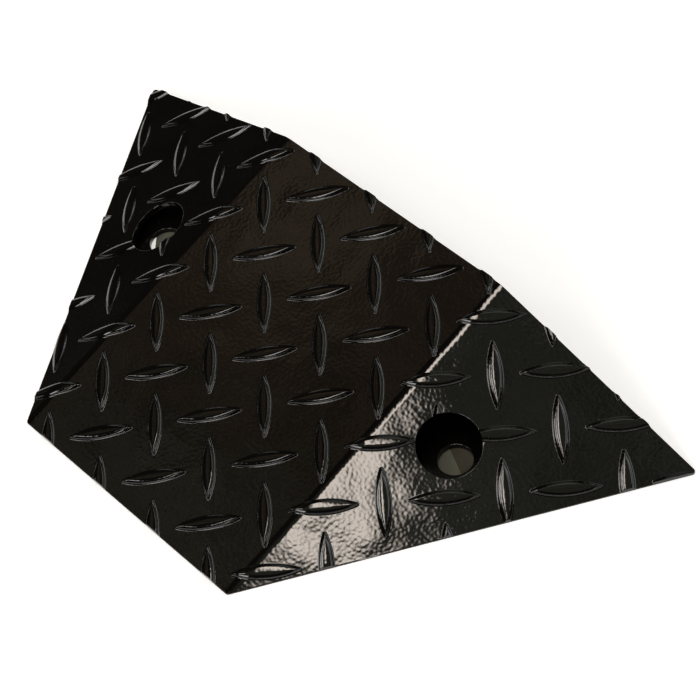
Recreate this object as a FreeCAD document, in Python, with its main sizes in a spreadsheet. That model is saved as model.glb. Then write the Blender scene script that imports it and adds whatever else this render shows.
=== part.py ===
import FreeCAD, Part
import math
import os
import Sketcher
from FreeCAD import Placement, Rotation, Vector

# A low bolt-down wheel ramp, folded from diamond tread plate.
#
# Frame: millimetres, +Z up. The origin is the centre of the footprint on the ground, X runs
# across the ramp and Y runs from the low front edge up to the high back edge.
#
# The cover is one sheet with two parallel bends: a rectangular deck that climbs towards the
# back, and a triangular flange on each side that falls from the deck to the ground. All its
# lower edges are bevelled to lie on the ground. Inside it are a back plate, three deck ribs
# and two anchor plates, welded in. A bolt goes down through the access hole in a flange and
# into the anchor hole below it.

doc = FreeCAD.newDocument("wheel_ramp")

# ---------------------------------------------------------------------------- driving sizes

DRIVING_SIZES = [
    ("deck_width", 152.4, "deck, from bend to bend"),
    ("deck_run", 192.0, "front edge to back edge, along the ground"),
    ("deck_rise", 44.5, "climb of the deck from front to back"),
    ("base_width", 396.0, "flange tip to flange tip, before the tips are rounded"),
    ("nose", 0.8, "height of the bevelled lower edges"),
    ("gauge", 3.2, "tread plate without its lugs"),
    ("bend_radius", 16.0, "outside radius of both bends"),
    ("corner_radius", 2.0, "rounding of the two front corners"),
    ("tip_radius", 1.5, "rounding of the two flange tips"),
    ("lug_pitch", 28.575, "centre to centre of neighbouring lugs"),
    ("lug_length", 33.4, "raised lug, tip to tip"),
    ("lug_width", 6.4, "raised lug at its middle"),
    ("lug_height", 1.4, "raised lug above the plate"),
    ("lug_flank", 0.9, "lean of a lug's side over its height"),
    ("lug_root", 0.6, "how deep a lug reaches into the plate"),
    ("pattern_across", -18.0, "one downhill lug's centre, from the centre line"),
    ("pattern_along", -0.3, "the same lug's centre, from the front edge"),
    ("anchor_spacing", 213.5, "centre to centre of the anchor holes"),
    ("anchor_back", 122.5, "front edge to the anchor holes"),
    ("anchor_hole", 17.5, "diameter of an anchor hole"),
    ("access_hole", 31.75, "diameter of an access hole"),
    ("access_lead", 2.0, "access hole ahead of the anchor hole"),
    ("rib_gauge", 4.8, "deck rib thickness"),
    ("rib_spacing", 60.0, "centre rib to side rib"),
    ("rib_start", 25.0, "front edge to the ribs"),
    ("back_gauge", 4.8, "back plate thickness"),
    ("back_inset", 5.0, "back plate inside the back edge"),
    ("back_end", 3.0, "height of the back plate at its ends"),
    ("anchor_gauge", 3.2, "anchor plate thickness"),
    ("anchor_width", 50.0, "anchor plate, measured along the ramp"),
    ("weld_leg", 3.0, "leg of every fillet weld"),
    ("stitch_length", 25.0, "one stitch of a rib weld"),
    ("stitch_start", 45.0, "front edge to the first stitch"),
    ("stitch_pitch", 45.0, "start of one stitch to the start of the next"),
]

sheet = doc.addObject("Spreadsheet::Sheet", "sizes")
for row, (name, value, meaning) in enumerate(DRIVING_SIZES, start=1):
    sheet.set(f"A{row}", name)
    sheet.set(f"B{row}", str(value))
    sheet.set(f"C{row}", meaning)
    sheet.setAlias(f"B{row}", name)
doc.recompute()


def size(name):
    """A driving size, read back from the sheet."""
    return float(sheet.get(name))


# The same derived values twice: as expressions for bound features, and as numbers.
HALF_DECK = "(sizes.deck_width / 2)"
FLANGE_REACH = "((sizes.base_width - sizes.deck_width) / 2)"
SLOPE = "atan(sizes.deck_rise / sizes.deck_run)"
FOLD = f"atan(sizes.deck_run * sin({SLOPE}) / {FLANGE_REACH})"
FRONT = "(-sizes.deck_run / 2)"

half_deck = size("deck_width") / 2
flange_reach = (size("base_width") - size("deck_width")) / 2
slope = math.atan(size("deck_rise") / size("deck_run"))
fold = math.atan(size("deck_run") * math.sin(slope) / flange_reach)
front = -size("deck_run") / 2
deck_length = math.hypot(size("deck_run"), size("deck_rise"))
flange_tilt = math.acos(math.cos(slope) * math.cos(fold))

UPHILL = Vector(0, math.cos(slope), math.sin(slope))
DOWN = Vector(0, 0, -1)

# Room past the real edges, for solids that are trimmed afterwards.
MARGIN = 20.0
HEADROOM = 60.0


def deck_placement():
    """From the flat blank to the deck: x across, y uphill, z out of the plate."""
    return Placement(Vector(0, front, size("nose")), Rotation(Vector(1, 0, 0), math.degrees(slope)))


def flange_placement(side):
    """From the flat blank to a flange (side is 1 for the right one, -1 for the left one)."""
    hinge = Placement(Vector(side * half_deck, 0, 0), Rotation(Vector(0, 1, 0), side * math.degrees(fold)))
    back_to_centre = Placement(Vector(-side * half_deck, 0, 0), Rotation())
    return deck_placement() * hinge * back_to_centre


# ------------------------------------------------------------------------ helpers for features

def origin_plane(body, role):
    """One of a body's own origin planes."""
    for feature in body.Origin.OriginFeatures:
        if feature.Role == role:
            return feature
    raise ValueError(role)


def new_sketch(body, name, role):
    sketch = body.newObject("Sketcher::SketchObject", name)
    sketch.AttachmentSupport = [(origin_plane(body, role), "")]
    sketch.MapMode = "FlatFace"
    return sketch


def dimension(sketch, kind, where, value, name, expression):
    """A named dimension bound to the sheet."""
    index = sketch.addConstraint(Sketcher.Constraint(kind, *where, value))
    sketch.renameConstraint(index, name)
    sketch.setExpression(f"Constraints.{name}", expression)


def bind(feature, **expressions):
    for prop, expression in expressions.items():
        feature.setExpression(prop.replace("__", "."), expression)


def plain_feature(name, shape):
    """A shape worked out with Part's own functions."""
    feature = doc.addObject("Part::Feature", name)
    feature.Shape = shape
    feature.Placement = Placement()
    return feature


def combine(kind, name, first, second):
    feature = doc.addObject(f"Part::{kind}", name)
    feature.Base = first
    feature.Tool = second
    feature.Refine = False
    return feature


def mirrored(name, source):
    feature = doc.addObject("Part::Mirroring", name)
    feature.Source = source
    feature.Normal = Vector(1, 0, 0)
    return feature


# ------------------------------------------------------------------------------ folded sections

def folded_body(name, top, bottom):
    """The folded section between two offsets from the plate's top face, run along the slope.

    top and bottom are expressions; the bends stay concentric with the plate's own.
    """
    body = doc.addObject("PartDesign::Body", name)
    sketch = new_sketch(body, f"{name}_section", "XZ_Plane")

    top_value = 0.0 if top == "0" else HEADROOM
    bottom_value = -size("gauge")
    radius = size("bend_radius")
    bend_start = half_deck - radius * math.tan(fold / 2)
    flange_length = size("base_width")
    along = Vector(math.cos(fold), -math.sin(fold), 0)
    out = Vector(math.sin(fold), math.cos(fold), 0)
    centre = Vector(bend_start, -radius, 0)
    outer_end = centre + out * (radius + top_value)
    inner_end = centre + out * (radius + bottom_value)
    tip_top = outer_end + along * flange_length
    tip_bottom = inner_end + along * flange_length
    deck_top = Vector(bend_start, top_value, 0)
    deck_bottom = Vector(bend_start, bottom_value, 0)

    def bend_arc(arc_radius):
        circle = Part.Circle(centre, Vector(0, 0, 1), arc_radius)
        return Part.ArcOfCircle(circle, math.pi / 2 - fold, math.pi / 2)

    top_line, outer_arc, flange_top, tip, flange_bottom, inner_arc, bottom_line, middle = range(8)
    for edge in (
        Part.LineSegment(Vector(0, top_value, 0), deck_top),
        bend_arc(radius + top_value),
        Part.LineSegment(outer_end, tip_top),
        Part.LineSegment(tip_top, tip_bottom),
        Part.LineSegment(tip_bottom, inner_end),
        bend_arc(radius + bottom_value),
        Part.LineSegment(deck_bottom, Vector(0, bottom_value, 0)),
        Part.LineSegment(Vector(0, bottom_value, 0), Vector(0, top_value, 0)),
    ):
        sketch.addGeometry(edge, False)
    start, end, mid = 1, 2, 3
    # An arc runs anticlockwise, so its start is at the flange and its end is at the deck.
    for constraint in [
        ("Tangent", top_line, end, outer_arc, end),
        ("Tangent", outer_arc, start, flange_top, start),
        ("Coincident", flange_top, end, tip, start),
        ("Coincident", tip, end, flange_bottom, start),
        ("Tangent", flange_bottom, end, inner_arc, start),
        ("Tangent", inner_arc, end, bottom_line, start),
        ("Coincident", bottom_line, end, middle, start),
        ("Coincident", middle, end, top_line, start),
        ("Coincident", outer_arc, mid, inner_arc, mid),
        ("Horizontal", top_line),
        ("Vertical", middle),
        ("PointOnObject", middle, start, -2),
        ("Perpendicular", flange_top, tip),
    ]:
        sketch.addConstraint(Sketcher.Constraint(*constraint))
    dimension(sketch, "DistanceX", (-1, start, outer_arc, mid), bend_start, "bend_start",
              f"{HALF_DECK} - sizes.bend_radius * tan({FOLD} / 2)")
    dimension(sketch, "DistanceY", (outer_arc, mid, -1, start), radius, "bend_depth",
              "sizes.bend_radius")
    dimension(sketch, "Radius", (outer_arc,), radius + top_value, "outer_radius",
              f"sizes.bend_radius + {top}")
    dimension(sketch, "Radius", (inner_arc,), radius + bottom_value, "inner_radius",
              f"sizes.bend_radius + {bottom}")
    dimension(sketch, "Angle", (flange_top,), -fold, "fold", f"-{FOLD}")
    dimension(sketch, "Distance", (flange_top,), flange_length, "flange_length",
              "sizes.base_width")

    pad = body.newObject("PartDesign::Pad", f"{name}_run")
    pad.Profile = sketch
    pad.Midplane = True
    bind(pad, Length=f"2 * (sizes.deck_run + sizes.deck_rise + {MARGIN})")
    both = body.newObject("PartDesign::Mirrored", f"{name}_both_sides")
    both.Originals = [pad]
    both.MirrorPlane = (origin_plane(body, "YZ_Plane"), [""])
    body.Tip = both

    body.Placement = deck_placement()
    body.setExpression("Placement.Base.y", FRONT)
    body.setExpression("Placement.Base.z", "sizes.nose")
    body.setExpression("Placement.Rotation.Angle", SLOPE)
    return body


folded_plate = folded_body("folded_plate", "0", "-sizes.gauge")
# Everything from the plate's underside upwards: what stands under the plate is cut back to it.
above_underside = folded_body("above_underside", str(HEADROOM), "-sizes.gauge")

# ------------------------------------------------------------------------------------ footprint

footprint = doc.addObject("PartDesign::Body", "footprint")
outline = new_sketch(footprint, "footprint_outline", "XY_Plane")
half_base = size("base_width") / 2
corners = [
    Vector(-half_deck, front, 0),
    Vector(half_deck, front, 0),
    Vector(half_base, -front, 0),
    Vector(-half_base, -front, 0),
]
for index in range(4):
    outline.addGeometry(Part.LineSegment(corners[index], corners[(index + 1) % 4]), False)
for index in range(4):
    outline.addConstraint(Sketcher.Constraint("Coincident", index, 2, (index + 1) % 4, 1))
outline.addConstraint(Sketcher.Constraint("Symmetric", 0, 1, 0, 2, -2))
outline.addConstraint(Sketcher.Constraint("Symmetric", 2, 1, 2, 2, -2))
dimension(outline, "DistanceX", (0, 1, 0, 2), 2 * half_deck, "front_width", "sizes.deck_width")
dimension(outline, "DistanceX", (2, 2, 2, 1), 2 * half_base, "back_width", "sizes.base_width")
dimension(outline, "DistanceY", (0, 1, -1, 1), -front, "front_place", "sizes.deck_run / 2")
dimension(outline, "DistanceY", (-1, 1, 2, 1), -front, "back_place", "sizes.deck_run / 2")
block = footprint.newObject("PartDesign::Pad", "footprint_height")
block.Profile = outline
bind(block, Length=f"sizes.deck_rise + {HEADROOM}")
doc.recompute()


def upright_edges(shape, at_front):
    """Names of the upright edges at the front corners, or at the flange tips."""
    names = []
    for number, edge in enumerate(shape.Edges, start=1):
        low, high = edge.Vertexes[0].Point, edge.Vertexes[-1].Point
        upright = math.hypot(high.x - low.x, high.y - low.y) < 0.001
        if upright and (low.y < 0) == at_front:
            names.append(f"Edge{number}")
    return names


rounded = block
for label, radius_name, at_front in (
    ("front_corners", "corner_radius", True),
    ("tips", "tip_radius", False),
):
    rounding = footprint.newObject("PartDesign::Fillet", f"footprint_{label}")
    rounding.Base = (rounded, upright_edges(rounded.Shape, at_front))
    bind(rounding, Radius=f"sizes.{radius_name}")
    footprint.Tip = rounding
    doc.recompute()
    rounded = rounding

# ---------------------------------------------------------------------------------- tread lugs

def lens_lug():
    """One raised lug along X: what two leaning round flanks have in common."""
    half_length = size("lug_length") / 2
    half_width = size("lug_width") / 2
    flank_radius = (half_length ** 2 + half_width ** 2) / (2 * half_width)
    lean = size("lug_flank") / size("lug_height")
    root_radius = flank_radius + size("lug_root") * lean
    top_radius = flank_radius - size("lug_flank")
    offset = flank_radius - half_width
    height = size("lug_root") + size("lug_height")
    flanks = [
        Part.makeCone(root_radius, top_radius, height, Vector(0, side * offset, -size("lug_root")))
        for side in (-1, 1)
    ]
    return flanks[0].common(flanks[1])


def lug_sites():
    """Every lug that reaches the blank: centre across, centre uphill, and turn in degrees.

    The centres make a square grid that stands on its corner, and neighbours cross at 90 degrees.
    """
    step = size("lug_pitch") / math.sqrt(2)
    reach = size("lug_length") / 2
    tip_across = math.hypot(flange_reach, size("deck_run") * math.sin(slope))
    tip_along = size("deck_run") * math.cos(slope)
    count = int((size("base_width") + deck_length) / step)
    for column in range(-count, count + 1):
        for line in range(-count, count + 1):
            across = size("pattern_across") + (column + line) * step
            along = size("pattern_along") + (column - line) * step
            if not -reach < along < deck_length + reach:
                continue
            half_blank = half_deck + tip_across * along / tip_along
            if abs(across) < half_blank + 1.5 * reach:
                yield across, along, -45 if (column + line) % 2 == 0 else 45


def between_bends(side):
    """The part of the flat blank's top that belongs to the deck (0) or to a flange (1 or -1).

    Its walls at the bends lean by half the fold, so that the two halves of a lug meet there.
    """
    high = size("lug_height") + MARGIN
    lean = high * math.tan(fold / 2)
    far = size("base_width")
    if side == 0:
        section = [
            (half_deck + lean, high),
            (-half_deck - lean, high),
            (-half_deck + lean, -high),
            (half_deck - lean, -high),
        ]
    else:
        section = [
            (side * (half_deck - lean), high),
            (side * far, high),
            (side * far, -high),
            (side * (half_deck + lean), -high),
        ]
    points = [Vector(across, -far, height) for across, height in section]
    face = Part.Face(Part.makePolygon(points + points[:1]))
    return face.extrude(Vector(0, 2 * far + deck_length, 0))


def facet_lugs(side, placement):
    """The lugs of one facet, cut at its bends and laid on it."""
    zone = between_bends(side)
    master = lens_lug()
    reach = size("lug_length") / 2 + size("lug_flank")
    pieces = []
    for across, along, turn in lug_sites():
        lug = master.copy()
        lug.Placement = Placement(Vector(across, along, 0), Rotation(Vector(0, 0, 1), turn))
        outward = side * across - half_deck if side else half_deck - abs(across)
        if outward < -reach:
            continue
        if outward < reach:
            lug = lug.common(zone)
        pieces.extend(solid for solid in lug.Solids)
    facet = Part.makeCompound(pieces)
    facet.Placement = placement
    return facet


raised_lugs = plain_feature("raised_lugs", Part.makeCompound([
    facet_lugs(0, deck_placement()),
    facet_lugs(1, flange_placement(1)),
    facet_lugs(-1, flange_placement(-1)),
]))

# --------------------------------------------------------------------------------- tread cover

tread_plate = combine("Fuse", "tread_plate", folded_plate, raised_lugs)
bevelled_cover = combine("Common", "bevelled_cover", tread_plate, footprint)


def access_place(side):
    """Where an access hole's axis meets the flange's top face, and the flange's own directions."""
    across = (size("anchor_spacing") / 2 - half_deck) / math.cos(fold)
    ahead = size("anchor_back") - size("access_lead")
    along = (ahead - across * math.sin(fold) * math.sin(slope)) / math.cos(slope)
    in_blank = Placement(Vector(side * (half_deck + across), along, -MARGIN), Rotation())
    return flange_placement(side) * in_blank


access_cutters = []
for side_name, side in (("right", 1), ("left", -1)):
    cutter = doc.addObject("Part::Cylinder", f"access_cutter_{side_name}")
    bind(cutter, Radius="sizes.access_hole / 2")
    cutter.Height = 2 * MARGIN
    cutter.Placement = access_place(side)
    access_cutters.append(cutter)
both_cutters = combine("Fuse", "access_cutters", *access_cutters)
tread_cover = combine("Cut", "tread_cover", bevelled_cover, both_cutters)

# ------------------------------------------------------------------------- back plate and ribs

BACK_FACE = "(sizes.deck_run / 2 - sizes.back_inset)"
TILT_COS = f"(cos({SLOPE}) * cos({FOLD}))"
# The back plate ends where the flange's underside comes down to the height of its ends.
BACK_HALF = (
    f"({HALF_DECK} + (sizes.nose + (sizes.deck_run - sizes.back_inset) * tan({SLOPE})"
    f" - sizes.gauge / {TILT_COS} - sizes.back_end) * cos({SLOPE}) / tan({FOLD}))"
)


def flat_bar(name, length, width, place_x, place_y):
    """A flat bar that stands on the ground, cut back to the plate's underside."""
    bar = doc.addObject("Part::Box", f"{name}_bar")
    bind(
        bar,
        Length=length,
        Width=width,
        Height=f"sizes.deck_rise + {MARGIN}",
        Placement__Base__x=place_x,
        Placement__Base__y=place_y,
    )
    return combine("Cut", name, bar, above_underside)


back_plate = flat_bar(
    "back_plate",
    f"2 * {BACK_HALF}",
    "sizes.back_gauge",
    f"-{BACK_HALF}",
    f"{BACK_FACE} - sizes.back_gauge",
)

RIB_MIDDLES = (
    ("left", "-sizes.rib_spacing"),
    ("centre", "0"),
    ("right", "sizes.rib_spacing"),
)
deck_ribs = [
    flat_bar(
        f"deck_rib_{rib_name}",
        "sizes.rib_gauge",
        f"{BACK_FACE} - sizes.back_gauge - ({FRONT} + sizes.rib_start)",
        f"{middle} - sizes.rib_gauge / 2",
        f"{FRONT} + sizes.rib_start",
    )
    for rib_name, middle in RIB_MIDDLES
]

# -------------------------------------------------------------------------------- anchor plates

# The plate's outer end is square, and its top corner touches the flange's underside.
underside_drop = size("gauge") / math.cos(flange_tilt) - size("nose")
end_inset = (underside_drop + size("anchor_gauge")) / math.tan(flange_tilt)
ground_inset = underside_drop / math.tan(flange_tilt)
side_length = math.hypot(flange_reach, size("deck_run"))
ALONG_SIDE = Vector(flange_reach, size("deck_run"), 0) / side_length


def inside_edge(back, inset):
    """A point on the ground, inset from the right footprint edge, at a distance from the front."""
    across = half_deck + (back * flange_reach - inset * side_length) / size("deck_run")
    return Vector(across, front + back, 0)


near = size("anchor_back") - size("anchor_width") / 2
far = size("anchor_back") + size("anchor_width") / 2
rib_face = size("rib_spacing") + size("rib_gauge") / 2

anchor_plate_right = doc.addObject("PartDesign::Body", "anchor_plate_right")
plate_outline = new_sketch(anchor_plate_right, "anchor_plate_outline", "XY_Plane")
plate_corners = [
    Vector(rib_face, front + near, 0),
    inside_edge(near, end_inset),
    inside_edge(far, end_inset),
    Vector(rib_face, front + far, 0),
]
for index in range(4):
    start_point, end_point = plate_corners[index], plate_corners[(index + 1) % 4]
    plate_outline.addGeometry(Part.LineSegment(start_point, end_point), False)
hole_centre = Vector(size("anchor_spacing") / 2, front + size("anchor_back"), 0)
plate_outline.addGeometry(Part.Circle(hole_centre, Vector(0, 0, 1), size("anchor_hole") / 2), False)
for index in range(4):
    plate_outline.addConstraint(Sketcher.Constraint("Coincident", index, 2, (index + 1) % 4, 1))
for constraint in (("Horizontal", 0), ("Horizontal", 2), ("Vertical", 3)):
    plate_outline.addConstraint(Sketcher.Constraint(*constraint))
TILT_TAN = f"tan(acos({TILT_COS}))"
SIDE_LENGTH = f"sqrt({FLANGE_REACH} ^ 2 + sizes.deck_run ^ 2)"
END_INSET = f"((sizes.gauge / {TILT_COS} - sizes.nose + sizes.anchor_gauge) / {TILT_TAN})"
for name, corner, back in (
    ("near_end", 1, "sizes.anchor_back - sizes.anchor_width / 2"),
    ("far_end", 2, "sizes.anchor_back + sizes.anchor_width / 2"),
):
    reach = f"{HALF_DECK} + (({back}) * {FLANGE_REACH} - {END_INSET} * {SIDE_LENGTH}) / sizes.deck_run"
    dimension(plate_outline, "DistanceX", (-1, 1, corner, 1), plate_corners[corner].x, name, reach)
dimension(plate_outline, "DistanceX", (-1, 1, 0, 1), rib_face, "rib_end",
          "sizes.rib_spacing + sizes.rib_gauge / 2")
dimension(plate_outline, "DistanceY", (-1, 1, 0, 1), front + near, "near_side",
          f"{FRONT} + sizes.anchor_back - sizes.anchor_width / 2")
dimension(plate_outline, "DistanceY", (-1, 1, 2, 1), front + far, "far_side",
          f"{FRONT} + sizes.anchor_back + sizes.anchor_width / 2")
dimension(plate_outline, "DistanceX", (-1, 1, 4, 3), hole_centre.x, "hole_across",
          "sizes.anchor_spacing / 2")
dimension(plate_outline, "DistanceY", (-1, 1, 4, 3), hole_centre.y, "hole_along",
          f"{FRONT} + sizes.anchor_back")
dimension(plate_outline, "Diameter", (4,), size("anchor_hole"), "hole_size", "sizes.anchor_hole")
plate_pad = anchor_plate_right.newObject("PartDesign::Pad", "anchor_plate_gauge")
plate_pad.Profile = plate_outline
bind(plate_pad, Length="sizes.anchor_gauge")
anchor_plate_left = mirrored("anchor_plate_left", anchor_plate_right)

# ---------------------------------------------------------------------------------- weld beads

def bead(corner, first_leg, second_leg, run):
    """A fillet weld: a triangle in a corner, run along it."""
    points = [corner, corner + first_leg, corner + second_leg, corner]
    return Part.Face(Part.makePolygon(points)).extrude(run)


leg = size("weld_leg")
underside_at_front = size("nose") - size("gauge") / math.cos(slope)


def under_deck(across, back):
    """A point on the deck's underside."""
    return Vector(across, front + back, underside_at_front + back * math.tan(slope))


def under_flange(across, back):
    """A point on the right flange's underside, or on the left one's for a negative across."""
    climb = back * math.tan(slope)
    fall = (abs(across) - half_deck) * math.tan(fold) / math.cos(slope)
    drop = size("gauge") / math.cos(flange_tilt)
    return Vector(across, front + back, size("nose") + climb - fall - drop)


doc.recompute()

# Back seam: behind the back plate, under the overhanging edge of the cover, in one run.
seam_back = size("deck_run") - size("back_inset")
crease = half_deck - size("gauge") * math.tan(fold / 2)
seam_end = doc.getObject("back_plate_bar").Length.Value / 2
seam_path = [
    under_flange(-seam_end, seam_back),
    under_deck(-crease, seam_back),
    under_deck(crease, seam_back),
    under_flange(seam_end, seam_back),
]
seam_leg = min(leg, size("back_end"))
sections = [
    Part.makePolygon([corner, corner + DOWN * seam_leg, corner + UPHILL * leg, corner])
    for corner in seam_path
]
back_seam_run = plain_feature("back_seam_run", Part.makeLoft(sections, True, True))
back_seam_weld = combine("Cut", "back_seam_weld", back_seam_run, above_underside)

# Rib welds: stitches along both top corners of each rib.
deck_normal = Vector(0, -math.sin(slope), math.cos(slope))
stitch_run = UPHILL * size("stitch_length")
rib_end = seam_back - size("back_gauge")
stitch_places = []
stitch_back = size("stitch_start")
while stitch_back + size("stitch_length") < rib_end:
    stitch_places.append(stitch_back)
    stitch_back += size("stitch_pitch")
rib_welds = []
for rib in deck_ribs:
    left_face = rib.Base.Placement.Base.x
    stitches = []
    for face_across, outwards in ((left_face, -leg), (left_face + size("rib_gauge"), leg)):
        for back in stitch_places:
            corner = under_deck(face_across, back)
            stitches.append(bead(corner, Vector(outwards, 0, 0), deck_normal * -leg, stitch_run))
    weld_name = rib.Label.replace("deck_rib", "rib_weld")
    rib_welds.append(plain_feature(weld_name, Part.makeCompound(stitches)))

# Anchor welds: one fills the wedge under the flange, one runs along the side rib.
plate_thickness = Vector(0, 0, size("anchor_gauge"))
wedge_start = inside_edge(near, end_inset)
wedge_run = ALONG_SIDE * (size("anchor_width") / ALONG_SIDE.y)
wedge = bead(wedge_start, plate_thickness, inside_edge(near, ground_inset) - wedge_start, wedge_run)
rib_corner = Vector(rib_face, front + near, size("anchor_gauge"))
rib_bead = bead(rib_corner, Vector(leg, 0, 0), Vector(0, 0, leg), Vector(0, size("anchor_width"), 0))
anchor_weld_right = plain_feature("anchor_weld_right", Part.makeCompound([wedge, rib_bead]))
anchor_weld_left = mirrored("anchor_weld_left", anchor_weld_right)

# -------------------------------------------------------------------------------------- output

doc.recompute()

SUB_PARTS = [
    tread_cover,
    back_plate,
    *deck_ribs,
    anchor_plate_left,
    anchor_plate_right,
    back_seam_weld,
    *rib_welds,
    anchor_weld_left,
    anchor_weld_right,
]

for feature in doc.Objects:
    if "Invalid" in feature.State or "Error" in feature.State:
        raise RuntimeError(f"{feature.Name} did not build: {feature.State}")

os.makedirs("parts", exist_ok=True)
for sub_part in SUB_PARTS:
    shape = sub_part.Shape
    if shape.isNull() or not shape.isValid():
        raise RuntimeError(f"{sub_part.Label} has no valid shape")
    shape.exportStep(f"parts/{sub_part.Label}.step")
    box = shape.BoundBox
    print(f"{sub_part.Label}: {len(shape.Solids)} solid(s), {shape.Volume / 1000:.1f} cm3, "
          f"{box.XLength:.1f} x {box.YLength:.1f} x {box.ZLength:.1f} mm")
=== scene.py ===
# %% [markdown]
# # A bolt-down wheel ramp in black tread plate
# The real object is one sheet of diamond tread plate with two bends, welded over a back plate,
# three ribs and two anchor plates, and powder coated in gloss black. A lorry's wheel or a
# cabinet's castor rolls up its deck, and two bolts go down through the flanges into the floor.
#
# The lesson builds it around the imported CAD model. That model is loaded first and never moved.
# Whatever this file makes lies in the same frame: metres, +Z up, the origin in the middle of the
# footprint on the ground, and +Y uphill.

# %% Load the frame
import math

import bmesh
import bpy
from mathutils import Euler, Matrix, Vector


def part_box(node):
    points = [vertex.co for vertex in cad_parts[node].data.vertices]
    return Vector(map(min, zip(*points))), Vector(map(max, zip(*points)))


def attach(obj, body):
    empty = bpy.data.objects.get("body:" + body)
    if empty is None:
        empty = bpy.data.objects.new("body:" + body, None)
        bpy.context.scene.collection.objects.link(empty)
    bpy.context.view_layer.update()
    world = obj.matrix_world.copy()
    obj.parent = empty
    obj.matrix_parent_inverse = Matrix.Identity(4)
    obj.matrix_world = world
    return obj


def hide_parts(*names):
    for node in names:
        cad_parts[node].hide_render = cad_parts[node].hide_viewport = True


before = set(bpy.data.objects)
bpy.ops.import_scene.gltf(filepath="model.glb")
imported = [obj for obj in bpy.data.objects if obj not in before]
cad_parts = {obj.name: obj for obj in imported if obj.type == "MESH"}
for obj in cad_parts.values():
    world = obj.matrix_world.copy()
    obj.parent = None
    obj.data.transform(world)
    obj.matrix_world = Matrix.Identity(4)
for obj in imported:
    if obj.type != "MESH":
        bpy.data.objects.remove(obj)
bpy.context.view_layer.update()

# %% [markdown]
# ## The driving sizes
# The sheet is drawn flat first, as a workshop would draw it, so the sizes are those of the
# drawing: the deck's width, its run and rise, and the width over the flange tips. The slope and
# the fold follow from them, because the outer edges of both flanges have to land on the ground.
# The frame's own box is the test that these sizes are the ones it was built with.

# %% Sizes of the folded sheet
MM = 0.001
DECK_WIDTH = 152.4 * MM
DECK_RUN = 192.0 * MM
DECK_RISE = 44.5 * MM
BASE_WIDTH = 396.0 * MM
NOSE = 0.8 * MM
GAUGE = 3.2 * MM
BEND_RADIUS = 16.0 * MM
CORNER_RADIUS = 2.0 * MM
TIP_RADIUS = 1.5 * MM

HALF_DECK = DECK_WIDTH / 2
FLANGE_REACH = BASE_WIDTH / 2 - HALF_DECK
FRONT = -DECK_RUN / 2
SLOPE = math.atan(DECK_RISE / DECK_RUN)
FOLD = math.atan(DECK_RUN * math.sin(SLOPE) / FLANGE_REACH)
DECK_LENGTH = math.hypot(DECK_RUN, DECK_RISE)
# How far a flange tip lies from the bend, and from the front edge, in the flat sheet.
TIP_ACROSS = math.hypot(FLANGE_REACH, DECK_RUN * math.sin(SLOPE))
TIP_ALONG = DECK_RUN * math.cos(SLOPE)

cover_low, cover_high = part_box("tread_cover")
print(f"slope {math.degrees(SLOPE):.2f} degrees, fold {math.degrees(FOLD):.2f} degrees")
cover_depth = (cover_high - cover_low).y
print(f"the frame's cover is {cover_depth / MM:.1f} mm deep, the drawing {DECK_RUN / MM:.1f} mm")

# %% [markdown]
# ## Helpers for node trees
# Geometry Nodes and shaders are both trees of nodes. Linking each node by hand is long to read,
# so one helper adds a node with its inputs, and a small class lets a formula be written as a
# formula: every + or * on a Number adds one Math node to the tree. The other helpers are for
# what most trees need, such as named inputs and the place of each point.

# %% Node helpers
def add_node(tree, kind, inputs=None, **settings):
    """Adds a node. Its inputs, by name or number, are linked to a socket or set to a value.

    A node given as an input stands for its first output.
    """
    node = tree.nodes.new(kind)
    for name, value in settings.items():
        setattr(node, name, value)
    for key, value in (inputs or {}).items():
        if isinstance(value, Number):
            value = value.socket
        elif isinstance(value, bpy.types.Node):
            value = value.outputs[0]
        if isinstance(value, bpy.types.NodeSocket):
            tree.links.new(value, node.inputs[key])
        else:
            node.inputs[key].default_value = value
    return node


class Number:
    """A number in a node tree. Arithmetic on it adds Math nodes."""

    def __init__(self, socket):
        self.socket = socket

    def math(self, operation, *others, clamp=False):
        tree = self.socket.id_data
        inputs = dict(enumerate((self, *others)))
        node = add_node(tree, "ShaderNodeMath", inputs, operation=operation, use_clamp=clamp)
        return Number(node.outputs[0])

    def __add__(self, other):
        return self.math("ADD", other)

    def __sub__(self, other):
        return self.math("SUBTRACT", other)

    def __mul__(self, other):
        return self.math("MULTIPLY", other)

    def __truediv__(self, other):
        return self.math("DIVIDE", other)

    def __rsub__(self, other):
        return self.math("MULTIPLY_ADD", -1.0, other)

    def __lt__(self, other):
        return self.math("LESS_THAN", other)

    def __gt__(self, other):
        return self.math("GREATER_THAN", other)


def new_tree(kind, name, inputs, outputs):
    """A node group with named sockets: the tree, its input sockets and the node they end in.

    An input that is a number is given by its value, and any other by the name of its type.
    """
    tree = bpy.data.node_groups.new(name, kind)
    add_socket = tree.interface.new_socket
    for title, default in inputs.items():
        socket_type = {float: "Float", int: "Int"}.get(type(default), default)
        socket = add_socket(title, in_out="INPUT", socket_type=f"NodeSocket{socket_type}")
        if socket_type != default:
            socket.default_value = default
    for title, socket_type in outputs.items():
        add_socket(title, in_out="OUTPUT", socket_type=f"NodeSocket{socket_type}")
    given = add_node(tree, "NodeGroupInput").outputs
    return tree, given, add_node(tree, "NodeGroupOutput")


def numbers_given(given):
    """A tree's inputs that are numbers, in the order in which they were named."""
    return [Number(socket) for socket in given if socket.type in ("VALUE", "INT")]


def cleared_tree(owner):
    """The node tree of a material, a world or a lamp, with nothing in it yet."""
    owner.use_nodes = True
    owner.node_tree.nodes.clear()
    return owner.node_tree


def position_numbers(tree):
    """The three coordinates of each point."""
    position = add_node(tree, "GeometryNodeInputPosition")
    parts = add_node(tree, "ShaderNodeSeparateXYZ", {"Vector": position})
    return [Number(part) for part in parts.outputs]


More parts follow.
